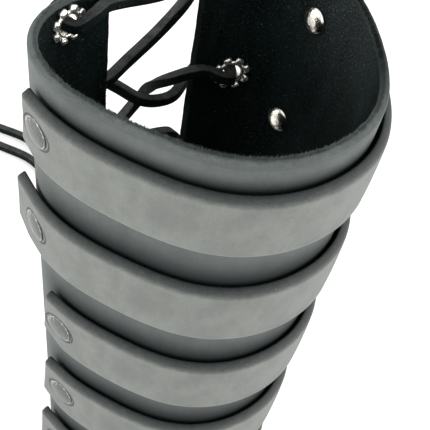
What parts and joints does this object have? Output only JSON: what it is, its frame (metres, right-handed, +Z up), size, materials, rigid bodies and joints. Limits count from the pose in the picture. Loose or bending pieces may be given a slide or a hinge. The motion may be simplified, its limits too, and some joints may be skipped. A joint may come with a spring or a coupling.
{
  "type": "laced leather bracer",
  "caption": "Tapered thick leather forearm guard, laced up a slit at the back, with raised leather bands riveted round its front.",
  "frame": {"origin": "middle of the wrist end, where the bracer stands on a surface", "axes": "+Z up the sleeve to the elbow rim, -Y towards the banded front, +Y towards the laced slit, +X to the right seen from the front"},
  "size_m": [0.1321, 0.2865, 0.25],
  "materials": {
    "sleeve_leather": "matte black-grey grain outside, black suede inside, blue-grey cut edges",
    "band_leather": "matte smooth grey grain with dark rounded cut edges",
    "rivet_metal": "polished nickel caps",
    "eyelet_metal": "bright nickel",
    "lace_leather": "black, smooth on one face and suede on the cut sides"
  },
  "bodies": {
    "root": {"sleeve": "sleeve_leather", "band_1": "band_leather", "band_2": "band_leather", "band_3": "band_leather", "band_4": "band_leather", "band_5": "band_leather", "band_6": "band_leather", "rivet_left_1": "rivet_metal", "rivet_left_2": "rivet_metal", "rivet_left_3": "rivet_metal", "rivet_left_4": "rivet_metal", "rivet_left_5": "rivet_metal", "rivet_left_6": "rivet_metal", "rivet_right_1": "rivet_metal", "rivet_right_2": "rivet_metal", "rivet_right_3": "rivet_metal", "rivet_right_4": "rivet_metal", "rivet_right_5": "rivet_metal", "rivet_right_6": "rivet_metal", "eyelet_left_1": "eyelet_metal", "eyelet_left_2": "eyelet_metal", "eyelet_left_3": "eyelet_metal", "eyelet_left_4": "eyelet_metal", "eyelet_left_5": "eyelet_metal", "eyelet_left_6": "eyelet_metal", "eyelet_right_1": "eyelet_metal", "eyelet_right_2": "eyelet_metal", "eyelet_right_3": "eyelet_metal", "eyelet_right_4": "eyelet_metal", "eyelet_right_5": "eyelet_metal", "eyelet_right_6": "eyelet_metal", "lace": "lace_leather", "lace_end_left": "lace_leather", "lace_end_right": "lace_leather"}
  },
  "joints": []
}
